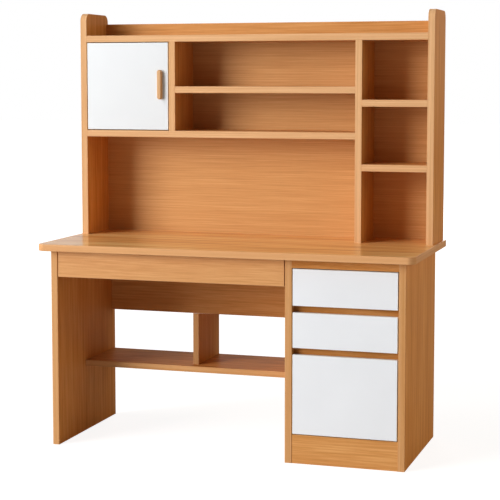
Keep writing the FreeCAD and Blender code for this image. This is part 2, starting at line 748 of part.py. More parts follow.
# ---------------------------------------------------------------------------
# Wooden dowels: each stands half in one board's face, half in the next one's end
# ---------------------------------------------------------------------------
def make_dowel(label, face_board, end_board, point, direction):
    """A dowel at a point of the joint plane, running on into the end board."""
    names = ("x", "y", "z")
    sink, play = cell("dowel_in_face"), cell("dowel_end_play")
    radius = times(cell("dowel_diameter"), 0.5)

    def back(distance):
        return tuple(
            sub(place_, times(distance, int(getattr(direction, axis))))
            for place_, axis in zip(point, names)
        )

    dowel = rod(label, radius, cell("dowel_length"), back(sink), direction)
    bore = rod(
        f"{label}_bore", add(radius, cell("dowel_play")),
        add(cell("dowel_length"), times(play, 2)), back(add(sink, play)), direction)
    bores[face_board].append(bore)
    bores[end_board].append(bore)
    return dowel


def make_dowel_row(label, face_board, end_board, low, high, direction, shares=(0.2, 0.8)):
    """Dowels spaced along the line from low to high on the joint plane."""
    row = []
    for number, share in enumerate(shares):
        point = tuple(between(a, b, share) for a, b in zip(low, high))
        row.append(make_dowel(f"{label}_{number}", face_board, end_board, point, direction))
    return row


def make_dowels():
    """Dowels of the desk and of the hutch, one group of separate solids each."""
    left, right = FreeCAD.Vector(-1, 0, 0), FreeCAD.Vector(1, 0, 0)
    down, up = FreeCAD.Vector(0, 0, -1), FreeCAD.Vector(0, 0, 1)
    desk = []
    for name, x in (
        ("left_leg_panel", between(CASE_LEFT, LEG_INNER, 0.5)),
        ("pedestal_inner_side", between(PEDESTAL_LEFT, PEDESTAL_INNER_LEFT, 0.5)),
        ("pedestal_outer_side", between(PEDESTAL_INNER_RIGHT, CASE_RIGHT, 0.5)),
    ):
        desk += make_dowel_row(
            f"{name}_dowel", "desktop", name, (x, CASE_FRONT, DESK_UNDER), (x, CASE_REAR, DESK_UNDER), down)
    shelf_z = between(FOOT_SHELF_BOTTOM, FOOT_SHELF_TOP, 0.5)
    modesty_y = between(MODESTY_FRONT, MODESTY_REAR, 0.5)
    bottom_z = sub(PEDESTAL_FLOOR, times(cell("front_board"), 0.5))
    plinth_y = between(PLINTH_FRONT, PLINTH_REAR, 0.5)
    for face_board, end_board, x, low, high, direction in (
        ("left_leg_panel", "foot_shelf", LEG_INNER,
         (FOOT_SHELF_FRONT, shelf_z), (MODESTY_REAR, shelf_z), right),
        ("pedestal_inner_side", "foot_shelf", PEDESTAL_LEFT,
         (FOOT_SHELF_FRONT, shelf_z), (MODESTY_REAR, shelf_z), left),
        ("left_leg_panel", "modesty_panel", LEG_INNER,
         (modesty_y, MODESTY_BOTTOM), (modesty_y, DESK_UNDER), right),
        ("pedestal_inner_side", "modesty_panel", PEDESTAL_LEFT,
         (modesty_y, MODESTY_BOTTOM), (modesty_y, DESK_UNDER), left),
        ("pedestal_inner_side", "pedestal_bottom", PEDESTAL_INNER_LEFT,
         (PLINTH_REAR, bottom_z), (PEDESTAL_BACK_FRONT, bottom_z), right),
        ("pedestal_outer_side", "pedestal_bottom", PEDESTAL_INNER_RIGHT,
         (PLINTH_REAR, bottom_z), (PEDESTAL_BACK_FRONT, bottom_z), left),
        ("pedestal_inner_side", "pedestal_plinth", PEDESTAL_INNER_LEFT,
         (plinth_y, FLOOR), (plinth_y, PEDESTAL_FLOOR), right),
        ("pedestal_outer_side", "pedestal_plinth", PEDESTAL_INNER_RIGHT,
         (plinth_y, FLOOR), (plinth_y, PEDESTAL_FLOOR), left),
    ):
        desk += make_dowel_row(
            f"{face_board}_{end_board}_dowel", face_board, end_board, (x, *low), (x, *high), direction)
    divider_x = between(FOOT_DIVIDER_LEFT, FOOT_DIVIDER_RIGHT, 0.5)
    desk += make_dowel_row(
        "foot_shelf_foot_divider_dowel", "foot_shelf", "foot_divider",
        (divider_x, FOOT_DIVIDER_FRONT, FOOT_SHELF_TOP), (divider_x, MODESTY_REAR, FOOT_SHELF_TOP), up)
    desk.append(make_dowel(
        "modesty_panel_foot_divider_dowel", "modesty_panel", "foot_divider",
        (divider_x, modesty_y, MODESTY_BOTTOM), down))
    rail_y = between(RAIL_FRONT, RAIL_REAR, 0.5)
    header_y = between(CASE_FRONT, FRONTS_REAR, 0.5)
    for rail, y, z in (
        ("pedestal_header_rail", header_y, between(HEADER_BOTTOM, DESK_UNDER, 0.5)),
        ("pedestal_upper_rail", rail_y, between(FRONT_2_TOP, FRONT_1_BOTTOM, 0.5)),
        ("pedestal_lower_rail", rail_y, between(FRONT_3_TOP, FRONT_2_BOTTOM, 0.5)),
    ):
        for side, x, direction in (
            ("pedestal_inner_side", PEDESTAL_INNER_LEFT, right),
            ("pedestal_outer_side", PEDESTAL_INNER_RIGHT, left),
        ):
            desk.append(make_dowel(f"{rail}_{side}_dowel", side, rail, (x, y, z), direction))
    keep("desk_dowels", group("desk_dowel_set", desk))

    hutch = []
    for name, left_x, right_x in (
        ("hutch_left_side", HUTCH_LEFT, HUTCH_INNER_LEFT),
        ("column_divider", COLUMN_DIVIDER_LEFT, COLUMN_DIVIDER_RIGHT),
        ("hutch_right_side", HUTCH_INNER_RIGHT, HUTCH_RIGHT),
    ):
        x = between(left_x, right_x, 0.5)
        hutch += make_dowel_row(
            f"{name}_foot_dowel", "desktop", name, (x, HUTCH_FRONT, DESK_TOP), (x, DESK_REAR, DESK_TOP), up)
    for shelf, left_board, left_x, right_board, right_x, top in (
        ("hutch_top_shelf", "hutch_left_side", HUTCH_INNER_LEFT,
         "hutch_right_side", HUTCH_INNER_RIGHT, TOP_SHELF_TOP),
        ("hutch_low_shelf", "hutch_left_side", HUTCH_INNER_LEFT,
         "column_divider", COLUMN_DIVIDER_LEFT, LOW_SHELF_TOP),
        ("hutch_middle_shelf", "door_divider", DOOR_DIVIDER_RIGHT,
         "column_divider", COLUMN_DIVIDER_LEFT, MIDDLE_SHELF_TOP),
    ):
        z = sub(top, times(BOARD, 0.5))
        for face_board, x, direction in ((left_board, left_x, right), (right_board, right_x, left)):
            hutch += make_dowel_row(
                f"{shelf}_{face_board}_dowel", face_board, shelf,
                (x, HUTCH_FRONT, z), (x, HUTCH_BACK_FRONT, z), direction)
    for shelf, top, shares in (
        ("column_upper_shelf", COLUMN_HIGH_TOP, (0.35, 0.65)),
        ("column_lower_shelf", COLUMN_LOW_TOP, (0.35, 0.65)),
    ):
        z = sub(top, times(BOARD, 0.5))
        for face_board, x, direction in (
            ("column_divider", COLUMN_DIVIDER_RIGHT, right),
            ("hutch_right_side", HUTCH_INNER_RIGHT, left),
        ):
            hutch += make_dowel_row(
                f"{shelf}_{face_board}_dowel", face_board, shelf,
                (x, HUTCH_FRONT, z), (x, HUTCH_BACK_FRONT, z), direction, shares)
    for divider, left_x, right_x, ends in (
        ("door_divider", DOOR_DIVIDER_LEFT, DOOR_DIVIDER_RIGHT,
         (("hutch_low_shelf", LOW_SHELF_TOP, up), ("hutch_top_shelf", TOP_SHELF_UNDER, down))),
        ("column_divider", COLUMN_DIVIDER_LEFT, COLUMN_DIVIDER_RIGHT,
         (("hutch_top_shelf", TOP_SHELF_UNDER, down),)),
    ):
        x = between(left_x, right_x, 0.5)
        for face_board, z, direction in ends:
            hutch += make_dowel_row(
                f"{divider}_{face_board}_dowel", face_board, divider,
                (x, HUTCH_FRONT, z), (x, HUTCH_BACK_FRONT, z), direction)
    keep("hutch_dowels", group("hutch_dowel_set", hutch))


make_desktop()
make_desk_boards()
make_foot_divider()
make_drawers()
make_hutch()
make_door()
make_pivots()
make_catch()
make_handle()
make_dowels()

for name, drilled in bores.items():
    if drilled:
        pieces[name] = cut(f"{name}_drilled", pieces[name], drilled)
doc.recompute()

for obj in doc.Objects:
    if "Invalid" in obj.State or "Error" in obj.State:
        raise RuntimeError(f"{obj.Label} failed: {obj.State}")
for name, piece in pieces.items():
    if piece.Shape.isNull() or not piece.Shape.isValid() or not piece.Shape.Solids:
        raise RuntimeError(f"{name} has no valid shape")
    piece.Label = name
for name, piece in pieces.items():
    piece.Shape.exportStep(f"parts/{name}.step")
print(len(pieces), "nodes written")
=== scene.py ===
import json
import math
import bpy
import numpy as np
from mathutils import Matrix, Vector


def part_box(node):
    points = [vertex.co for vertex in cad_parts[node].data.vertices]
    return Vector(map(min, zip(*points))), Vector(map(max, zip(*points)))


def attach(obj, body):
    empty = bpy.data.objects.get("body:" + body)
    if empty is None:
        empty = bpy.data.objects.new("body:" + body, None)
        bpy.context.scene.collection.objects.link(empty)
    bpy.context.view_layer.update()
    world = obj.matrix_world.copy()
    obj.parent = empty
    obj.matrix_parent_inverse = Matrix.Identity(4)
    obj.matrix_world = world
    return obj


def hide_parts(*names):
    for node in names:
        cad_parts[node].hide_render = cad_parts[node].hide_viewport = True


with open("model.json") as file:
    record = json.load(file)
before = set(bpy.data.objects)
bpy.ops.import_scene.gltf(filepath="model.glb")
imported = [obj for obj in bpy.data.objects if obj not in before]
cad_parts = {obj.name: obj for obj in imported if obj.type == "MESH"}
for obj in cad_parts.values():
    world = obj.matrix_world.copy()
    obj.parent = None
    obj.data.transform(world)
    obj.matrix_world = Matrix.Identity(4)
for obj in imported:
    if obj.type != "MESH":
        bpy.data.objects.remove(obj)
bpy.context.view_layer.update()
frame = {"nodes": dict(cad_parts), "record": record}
RECORD = frame["record"]
BODY_OF = {
    node: body for body, nodes in RECORD["behaviour"]["bodies"].items() for node in nodes}
SLOT_OF = {part["node"]: part["material_slot"] for part in RECORD["subparts"]}
MM = 0.001
X, Y, Z = 0, 1, 2

# ---------------------------------------------------------------------------
# Finish colours, sRGB: a face's dark streaks, body and light streaks, and the
# two tones of an edge band
# ---------------------------------------------------------------------------
WOOD = ("#BE8043", "#D09254", "#DEA567")
# A paler, lighter copy of the print for the hutch's back: painted light.
BACK_PAINTED_LIGHT_WOOD = ("#C38A52", "#D29A60", "#DFAA72")
# A paler, lighter copy of the print for the wide drawer front: painted light on its lit face.
FRONT_PAINTED_LIGHT_WOOD = ("#C18449", "#D2965C", "#E0A96F")
# A darker copy of the print for the foot shelf, header rail and drawer rails: painted shade
# under the desktop, under the desk and between the drawers.
PAINTED_SHADE_WOOD = ("#B07138", "#C28246", "#D09359")
# A brighter, more orange copy of the print for the uprights: painted light, fitted to the side
# light on their faces.
UPRIGHT_PAINTED_LIGHT_WOOD = ("#C07A38", "#D79450", "#EAAF6E")
# The worktop's bolder grain, in colours brighter than the print: painted light on its top.
DESKTOP_GRAIN_PAINTED_LIGHT = ("#C8833F", "#F1B16A", "#FFD997")
HUTCH_BAND = ("#D4A06F", "#E4B586")
# A darker copy of the edge band for the desk below the worktop: painted shade.
DESK_BAND_PAINTED_SHADE = ("#C78F59", "#D5A16E")
DESKTOP_BAND = ("#D9A16E", "#E8B481")
# Darker copies of the print and its band for the column divider and the foot divider: painted
# shade for the narrow column bay and the space under the desk.
DIVIDER_PAINTED_SHADE_WOOD = ("#B0763B", "#C48E51", "#D5A66B")
DIVIDER_PAINTED_SHADE_BAND = ("#AC794B", "#BA8A5D")
HANDLE_WOOD = ("#CB9A6A", "#D5AA7E", "#DFB891")
DOWEL_WOOD = ("#D9B98A", "#E2C69B", "#EAD2AC")
# The door's white is greyer than the melamine, painted shade, and the drawer fronts' whiter,
# painted light: together they even out the extra light on the door.
DOOR_PAINTED_SHADE_WHITE = ("#DADDE1", "#DFE3E6")
DRAWER_PAINTED_LIGHT_WHITE = ("#E8EBF0", "#EDF0F5")
WHITE_BAND = "#F0F0EE"
ZINC = "#B9BBBD"
RUNNER_WHITE = "#E2E2DF"
NYLON_BROWN = "#4A3120"
CATCH_BROWN = "#8A5A34"

# Printed grain, in mm: the length of its cells along the grain and their width.
# A real print's streaks are 1 to 2 mm wide; they are drawn coarser, so that they
# still show when the whole desk is in view.
FIGURE_CELL = (1100, 40)
STREAK_CELL = (200, 6)
PORE_CELL = (26, 0.8)
BAND_LINE_CELL = (600, 4)
# Streaks make this share of a face's tone and the figure the rest; a tone is fully
# dark or light TONE_REACH away from the middle of that mixed noise.
STREAK_SHARE = 0.72
TONE_REACH = 0.18
BAND_STOPS = (0.36, 0.62)
# A pore darkens the print to PORE_SHADE below the first noise value, and ends at
# the second.
PORE_NOISE = (0.28, 0.42)
PORE_SHADE = 0.9
PORE_RELIEF = 0.12
# How far the streaks' roughness lies from the print's own.
STREAK_GLOSS = (-0.05, 0.06)
LAMINATE_ROUGHNESS = 0.42
LACQUER_ROUGHNESS = 0.14
# Boards that are mostly seen at a slant.
SLANTED = {"specular": 0.02, "spread": 3.0, "stretch": 2.0}

# Pressed and moulded surfaces, in mm: orange peel, slow clouds, uneven sheen.
PEEL_CELL = 4
CLOUD_CELL = 330
MOTTLE_CELL = 5.5
PEEL_RELIEF = 0.05
MELAMINE_ROUGHNESS = 0.32
SHEEN_SWING = 0.06

# Nearly all of a noise lies between these two values.
NOISE_LOW, NOISE_HIGH = 0.3, 0.7
RELIEF_DEPTH = 0.2 * MM

# Edges, in metres.  A side that isn't eased keeps SHARP_SHARE of the arris.  The
# edge band shows on a face for BAND_WIDTH, or for BAND_ARRISES arrises if that is
# more.
HUTCH_CORNER = 30 * MM
DESKTOP_CORNER = 30 * MM
DESKTOP_REAR_CORNER = 5 * MM
DESKTOP_ARRIS = 3 * MM
TIGHT = 0.4 * MM
ARRIS = 1.2 * MM
SHARP_SHARE = 0.2
BAND_WIDTH = 1.5 * MM
BAND_ARRISES = 1.25
LEAST_RADIUS = 0.05 * MM
ARRIS_STEPS = 4
CORNER_STEPS = 12

# Which sides of a board are eased, in the order its outline is walked: front, right,
# rear and left for a shelf; bottom, rear, top and front for an upright.
ALL_SIDES = (True,) * 4
NO_SIDE = (False,) * 4
SHELF_FRONT = (True, False, False, False)
UPRIGHT_FRONT = (False, False, False, True)
UPRIGHT_FREE_SIDES = (False, True, True, True)

# Where each face starts in the grain pattern, in metres, so that no two match.
BAND_PATTERN = 5.0
REVERSE_PATTERN = 1.37
BOARD_PATTERN_STEP = (2.741, 0.617)

# Studio: distances in metres, powers in watts, angles in degrees, lens in mm.
LENS = 106.97
SENSOR = 36.0
CAMERA_SHIFT = -0.07
CAMERA_PLACE = (1.6684, -5.1983, 1.3442)
CAMERA_TURN = 17.559
CAMERA_TIP = 5.173
LIGHT_SIZE = 6.0
LIGHT_AIM = (0.0, 0.0, 0.85)
WHITE_LIGHT = (1.0, 1.0, 1.0)
WARM_LIGHT = (1.0, 0.8, 0.56)
LIGHTS = (
    ("high_key", (-8.0, -9.0, 7.0), 317.0, WHITE_LIGHT),
    ("middle_key", (-8.0, -9.0, 4.0), 751.0, WHITE_LIGHT),
    ("low_key", (-8.5, -8.5, 1.8), 680.0, WHITE_LIGHT),
    ("overhead_fill", (-6.0, -3.0, 9.0), 281.0, WHITE_LIGHT),
    ("side_fill", (6.5, 0.4, 2.6), 167.0, WARM_LIGHT),
    ("back_fill", (-1.5, 10.5, 4.5), 380.0, WHITE_LIGHT),
)
WORLD_COLOUR = (1.0, 0.93, 0.75, 1.0)
WORLD_STRENGTH = 0.077
WORLD_REFLECTED = 0.75
WORLD_SEEN = 1.0
FLOOR_REACH = 40.0
FLOOR_ROUGHNESS = 0.9
FLOOR_COLOUR = "#D0D0D0"
# The camera sees the floor's shade with this glow added, which grows to full white
# between the two distances from the desk.
FLOOR_SEEN = "#989898"
FLOOR_LIFT = 0.87
FLOOR_LIFT_FADES = (1.5, 5.0)


def linear(hex_colour):
    """An sRGB hex colour as linear RGBA: each channel follows the sRGB curve."""
    channels = [int(hex_colour[i : i + 2], 16) / 255 for i in (1, 3, 5)]
    curve = [c / 12.92 if c <= 0.04045 else ((c + 0.055) / 1.055) ** 2.4 for c in channels]
    return (*curve, 1.0)


# ---------------------------------------------------------------------------
# Shader helpers
# ---------------------------------------------------------------------------
def add_node(tree, kind, settings=None, inputs=None, stops=()):
    """Adds one node: settings are its properties, inputs are constants or sockets to
    link, and stops are a colour ramp's positions with their hex colours."""
    node = tree.nodes.new(kind)
    for name, setting in (settings or {}).items():
        setattr(node, name, setting)
    for socket, source in (inputs or {}).items():
        if isinstance(source, bpy.types.NodeSocket):
            tree.links.new(source, node.inputs[socket])
        else:
            node.inputs[socket].default_value = source
    if stops:
        elements = node.color_ramp.elements
        while len(elements) < len(stops):
            elements.new(0.5)
        for element, (position, colour) in zip(elements, stops):
            element.position = position
            element.color = linear(colour)
    return node


def new_material(name):
    """An empty node material with a Principled shader wired to its output."""
    material = bpy.data.materials.new(name)
    material.use_nodes = True
    tree = material.node_tree
    tree.nodes.clear()
    shader = add_node(tree, "ShaderNodeBsdfPrincipled")
    output = add_node(tree, "ShaderNodeOutputMaterial")
    tree.links.new(shader.outputs["BSDF"], output.inputs["Surface"])
    return material, tree, shader


def cell_pattern(tree, coordinates, cell, detail=2.0, roughness=0.55, distortion=0.0):
    """Noise in cells of the given size in mm along each axis; long cells make streaks."""
    mapping = add_node(
        tree, "ShaderNodeMapping",
        inputs={"Vector": coordinates, "Scale": [1 / (size * MM) for size in cell]})
    noise = add_node(
        tree, "ShaderNodeTexNoise", {"noise_dimensions": "3D"},
        {"Vector": mapping.outputs["Vector"], "Scale": 1.0, "Detail": detail,
         "Roughness": roughness, "Distortion": distortion})
    return noise.outputs["Fac"]


def grain_material(name, coordinates_from, colours, band_colours=None,
                   roughness=LAMINATE_ROUGHNESS, coat=0.0, specular=0.08,
                   grain_axis=X, spread=1.0, stretch=1.0, contrast=1.0):
    """Wood grain, printed or real: short streaks, a slow drift of tone, fine pores.

    coordinates_from is "UV" for boards modelled here (first axis along the grain)
    or "Object" for machined pieces, whose grain runs along grain_axis.  Boards that
    are mostly seen at a slant have their grain drawn spread times wider and stretch
    times longer, so that it still reads as lines and doesn't break up into specks.
    A contrast above 1 makes the tones swing harder from dark to light, and one
    below 1 more gently.  coat is the share of a lacquer that stops at the edge band,
    so it needs band_colours.
    """
    material, tree, shader = new_material(name)
    texture = add_node(tree, "ShaderNodeTexCoord")
    where = texture.outputs[coordinates_from]

    def grain_cell(length, width):
        cell = [width * spread] * 3
        cell[grain_axis] = length * stretch
        return cell

    # The figure is broad bands that run most of a board's length, the streaks read
    # as grain from across a room, and the pores are seen only close up.
    figure = cell_pattern(
        tree, where, grain_cell(*FIGURE_CELL), roughness=0.5, distortion=0.3)
    streaks = cell_pattern(
        tree, where, grain_cell(*STREAK_CELL), detail=4.0, roughness=0.6, distortion=0.2)
    pores = cell_pattern(tree, where, grain_cell(*PORE_CELL), roughness=0.5)
    mixed = add_node(
        tree, "ShaderNodeMix", {"data_type": "FLOAT"},
        {0: STREAK_SHARE, 2: figure, 3: streaks})
    reach = TONE_REACH / contrast
    chosen = add_node(
        tree, "ShaderNodeValToRGB", inputs={"Fac": mixed.outputs[0]},
        stops=[(0.5 - reach, colours[0]), (0.5, colours[1]), (0.5 + reach, colours[2])],
    ).outputs["Color"]
    if band_colours:
        lines = cell_pattern(
            tree, where, grain_cell(*BAND_LINE_CELL), detail=3.0, roughness=0.6)
        band = add_node(
            tree, "ShaderNodeValToRGB", inputs={"Fac": lines},
            stops=list(zip(BAND_STOPS, band_colours)))
        is_band = add_node(tree, "ShaderNodeAttribute", {"attribute_name": "band"})
        chosen = add_node(
            tree, "ShaderNodeMix", {"data_type": "RGBA"},
            {0: is_band.outputs["Fac"], 6: chosen, 7: band.outputs["Color"]}).outputs[2]
    pore_shade = add_node(
        tree, "ShaderNodeMapRange",
        inputs={"Value": pores, "From Min": PORE_NOISE[0], "From Max": PORE_NOISE[1],
                "To Min": PORE_SHADE, "To Max": 1.0})
    shaded = add_node(
        tree, "ShaderNodeMix", {"data_type": "RGBA", "blend_type": "MULTIPLY"},
        {0: 1.0, 6: chosen, 7: pore_shade.outputs["Result"]})
    gloss = add_node(
        tree, "ShaderNodeMapRange",
        inputs={"Value": streaks, "From Min": NOISE_LOW, "From Max": NOISE_HIGH,
                "To Min": roughness + STREAK_GLOSS[0], "To Max": roughness + STREAK_GLOSS[1]})
    bump = add_node(
        tree, "ShaderNodeBump",
        inputs={"Strength": PORE_RELIEF, "Distance": RELIEF_DEPTH, "Height": pores})
    tree.links.new(shaded.outputs[2], shader.inputs["Base Color"])
    tree.links.new(gloss.outputs["Result"], shader.inputs["Roughness"])
    tree.links.new(bump.outputs["Normal"], shader.inputs["Normal"])
    shader.inputs["Specular IOR Level"].default_value = specular
    if coat:
        # Only the faces are lacquered; the edge band is left as it comes.
        lacquer = add_node(
            tree, "ShaderNodeMapRange",
            inputs={"Value": is_band.outputs["Fac"], "To Min": coat, "To Max": 0.0})
        tree.links.new(lacquer.outputs["Result"], shader.inputs["Coat Weight"])
        shader.inputs["Coat Roughness"].default_value = LACQUER_ROUGHNESS
    return material


def white_material(name, shades):
    """White melamine, pressed on a textured plate.

    It gives an even, faintly cloudy white, a brighter edge band and a sheen that an
    orange peel of some 4 mm breaks up.
    """
    material, tree, shader = new_material(name)
    texture = add_node(tree, "ShaderNodeTexCoord")
    peel = cell_pattern(tree, texture.outputs["UV"], (PEEL_CELL,) * 3)
    cloud = cell_pattern(tree, texture.outputs["UV"], (CLOUD_CELL,) * 3)
    face = add_node(
        tree, "ShaderNodeValToRGB", inputs={"Fac": cloud},
        stops=[(NOISE_LOW, shades[0]), (NOISE_HIGH, shades[1])])
    is_band = add_node(tree, "ShaderNodeAttribute", {"attribute_name": "band"})
    colour = add_node(
        tree, "ShaderNodeMix", {"data_type": "RGBA"},
        {0: is_band.outputs["Fac"], 6: face.outputs["Color"], 7: linear(WHITE_BAND)})
    bump = add_node(
        tree, "ShaderNodeBump",
        inputs={"Strength": PEEL_RELIEF, "Distance": RELIEF_DEPTH, "Height": peel})
    tree.links.new(colour.outputs[2], shader.inputs["Base Color"])
    tree.links.new(bump.outputs["Normal"], shader.inputs["Normal"])
    shader.inputs["Roughness"].default_value = MELAMINE_ROUGHNESS
    return material


def plain_material(name, colour, roughness, metallic=0.0):
    """A plain finish with a little uneven sheen, for hardware and plastic."""
    material, tree, shader = new_material(name)
    texture = add_node(tree, "ShaderNodeTexCoord")
    mottle = cell_pattern(tree, texture.outputs["Object"], (MOTTLE_CELL,) * 3, detail=3.0)
    gloss = add_node(
        tree, "ShaderNodeMapRange",
        inputs={"Value": mottle, "From Min": NOISE_LOW, "From Max": NOISE_HIGH,
                "To Min": roughness - SHEEN_SWING, "To Max": roughness + SHEEN_SWING})
    tree.links.new(gloss.outputs["Result"], shader.inputs["Roughness"])
    shader.inputs["Base Color"].default_value = linear(colour)
    shader.inputs["Metallic"].default_value = metallic
    return material


# ---------------------------------------------------------------------------
# Boards
# ---------------------------------------------------------------------------
def outline_ring(corners, radii, insets):
    """One ring of a board's outline: a polygon with rounded corners, its sides moved inward.

    corners are walked anticlockwise and insets holds the distance inward of the side
    that starts at each corner.  A corner's arc has its radius less the smaller inset
    beside it; its centre lies that far again inside both moved sides, and its points
    are centre plus radius times (cos, sin) of an angle that runs from the normal of
    the side before to the normal of the side after.
    """
    sides = np.roll(corners, -1, axis=0) - corners
    lengths = np.linalg.norm(sides, axis=1)
    after = np.stack([sides[:, 1], -sides[:, 0]], axis=1) / lengths[:, None]
    before = np.roll(after, 1, axis=0)
    inset_before = np.roll(insets, 1)
    radius = np.maximum(np.asarray(radii) - np.minimum(inset_before, insets), LEAST_RADIUS)
    cross = before[:, 0] * after[:, 1] - before[:, 1] * after[:, 0]
    away = -np.stack([inset_before + radius, insets + radius], axis=1)
    centres = corners + np.stack([
        (away[:, 0] * after[:, 1] - away[:, 1] * before[:, 1]) / cross,
        (away[:, 1] * before[:, 0] - away[:, 0] * after[:, 0]) / cross], axis=1)
    start = np.arctan2(before[:, 1], before[:, 0])
    turn = np.arctan2(cross, (before * after).sum(axis=1))
    steps = np.linspace(0.0, 1.0, CORNER_STEPS + 1)
    angles = start[:, None] + turn[:, None] * steps[None, :]
    normals = np.stack([np.cos(angles), np.sin(angles)], axis=-1)
    points = centres[:, None, :] + radius[:, None, None] * normals
    return points.reshape(-1, 2), normals.reshape(-1, 2)


def slab_mesh(name, low, high, normal_axis, grain_axis, corners, radii, eased, arris, number):
    """A board: a rounded outline swept through its thickness, with eased arrises.

    Ring by ring, each side moves inward by arris times (1 - sin a) and upward by
    arris times (1 - cos a), both times the side's easing share, for a from 0 to 90
    degrees; the far half mirrors the near half.  One more ring at each end marks
    where the edge band meets the face.  number moves the board's place in the grain
    pattern by so many steps.
    """
    plane = [axis for axis in (X, Y, Z) if axis != normal_axis]
    thickness = high[normal_axis] - low[normal_axis]
    shares = np.where(eased, 1.0, SHARP_SHARE)
    arc = np.linspace(0.0, math.pi / 2, ARRIS_STEPS + 1)
    band_end = max(BAND_WIDTH, BAND_ARRISES * arris)
    inset = np.concatenate([[band_end], arris * (1 - np.sin(arc))])
    rise = np.concatenate([[0.0], arris * (1 - np.cos(arc))])
    tilt = np.concatenate([[0.0], np.sin(arc)])
    rings = [outline_ring(corners, radii, step * shares) for step in inset]
    normals = rings[0][1]
    near_half = np.stack([points for points, _ in rings])
    planar = np.concatenate([near_half, near_half[::-1]])
    tilt = np.concatenate([tilt, tilt[::-1]])
    blend = np.linspace(0.0, 1.0, CORNER_STEPS + 1)[None, :]
    point_share = np.roll(shares, 1)[:, None] * (1 - blend) + shares[:, None] * blend
    lift = rise[:, None] * point_share.ravel()[None, :]
    depth = np.concatenate([lift, thickness - lift[::-1]])
    facing = np.repeat([-1.0, 1.0], len(rise))
    count, ring_count = planar.shape[1], len(planar)

    vertices = np.zeros((ring_count, count, 3))
    vertices[..., plane] = planar + np.array(low)[plane]
    vertices[..., normal_axis] = depth + low[normal_axis]
    direction = np.zeros((ring_count, count, 3))
    direction[..., plane] = tilt[:, None, None] * normals[None]
    direction[..., normal_axis] = (facing * np.sqrt(1 - tilt**2))[:, None]

    ring, step = np.meshgrid(np.arange(ring_count - 1), np.arange(count), indexing="ij")
    ring, step = ring.ravel(), step.ravel()
    after = (step + 1) % count
    quads = np.stack(
        [ring * count + step, ring * count + after,
         (ring + 1) * count + after, (ring + 1) * count + step], axis=1)
    near, far = np.arange(count)[::-1], (ring_count - 1) * count + np.arange(count)

    # Faces carry their own coordinates: the rim's run along the band, the caps'
    # along the grain, and each board starts at a different place in the pattern.
    outer = planar[ARRIS_STEPS]
    walked = np.linalg.norm(np.roll(outer, -1, axis=0) - outer, axis=1)
    walked = np.concatenate([[0.0], np.cumsum(walked)])
    rise_step = np.abs(np.diff(depth[:, 0]))
    inset_step = np.abs(np.diff(np.concatenate([inset, inset[::-1]])))
    girth = np.concatenate([[0.0], np.cumsum(np.hypot(rise_step, inset_step))])
    along = np.stack([walked[step], walked[step + 1], walked[step + 1], walked[step]], axis=1)
    upward = np.stack([girth[ring], girth[ring], girth[ring + 1], girth[ring + 1]], axis=1)
    rim = np.stack([along, upward], axis=-1) + BAND_PATTERN
    flat = planar if plane[0] == grain_axis else planar[..., ::-1]
    caps = [flat[0][::-1], flat[-1] + REVERSE_PATTERN]
    faces = [quads, near, far]
    if normal_axis == Y:
        # This plane's two axes and its normal are left-handed, so every face turns over.
        rim = rim[:, ::-1]
        caps = [cap[::-1] for cap in caps]
        faces = [quads[:, ::-1], near[::-1], far[::-1]]
    uv = np.concatenate([rim.reshape(-1, 2), *caps]) + number * np.array(BOARD_PATTERN_STEP)

    mesh = bpy.data.meshes.new(name)
    face_list = faces[0].tolist() + [faces[1].tolist(), faces[2].tolist()]
    mesh.from_pydata(vertices.reshape(-1, 3).tolist(), [], face_list)
    layer = mesh.uv_layers.new(name="grain")
    layer.data.foreach_set("uv", uv.astype(np.float32).ravel())
    band = mesh.attributes.new("band", "FLOAT", "FACE")
    is_band = np.ones(len(face_list), np.float32)
    is_band[-2:] = 0.0
    band.data.foreach_set("value", is_band)
    mesh.polygons.foreach_set("use_smooth", np.ones(len(face_list), bool))
    mesh.normals_split_custom_set_from_vertices(direction.reshape(-1, 3).tolist())
    mesh.update()
    return mesh


def add_board(node, material, normal_axis, grain_axis, radii=None, eased=ALL_SIDES,
              arris=ARRIS, outline=None):
    """A modelled board in place of the CAD board of the same name and size.

    outline gives the corners of a board that isn't a rectangle, in the plane of its
    face.  The count of meshes so far gives each board a place of its own in the grain
    pattern.
    """
    low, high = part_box(node)
    plane = [axis for axis in (X, Y, Z) if axis != normal_axis]
    start = [low[axis] for axis in plane]
    size = [high[axis] - low[axis] for axis in plane]
    rectangle = [(0, 0), (size[0], 0), (size[0], size[1]), (0, size[1])]
    corners = rectangle if outline is None else np.array(outline) - start
    mesh = slab_mesh(
        node, low, high, normal_axis, grain_axis, np.array(corners, float),
        radii or (TIGHT,) * len(corners), eased, arris, number=len(bpy.data.meshes))
    piece = bpy.data.objects.new(f"{node}_finished", mesh)
    bpy.context.scene.collection.objects.link(piece)
    mesh.materials.append(material)
    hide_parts(node)
    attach(piece, BODY_OF[node])


# Beech-pattern laminate, a printed paper pressed satin under melamine: even straight
# grain with a soft sheen.  Every board carries this one print; where a board's colours
# differ from WOOD's, they are painted light and painted shade for its place: lighter
# copies where the light falls, darker ones in the shade.  Its specular level is low,
# because a print is matter than bare melamine and would otherwise turn pale at a low angle.
HUTCH_FLAT = grain_material("hutch_beech_laminate", "UV", WOOD, HUTCH_BAND)
DESK_FLAT_BAND_PAINTED_SHADE = grain_material("desk_laminate_band_painted_shade", "UV", WOOD, DESK_BAND_PAINTED_SHADE)
# The hutch's back: paler colours, painted light, with a finer, gentler grain.
HUTCH_BACK_PAINTED_LIGHT = grain_material(
    "hutch_back_laminate_painted_light", "UV", BACK_PAINTED_LIGHT_WOOD, HUTCH_BAND,
    specular=0.12, spread=0.7, stretch=1.4, contrast=0.9)
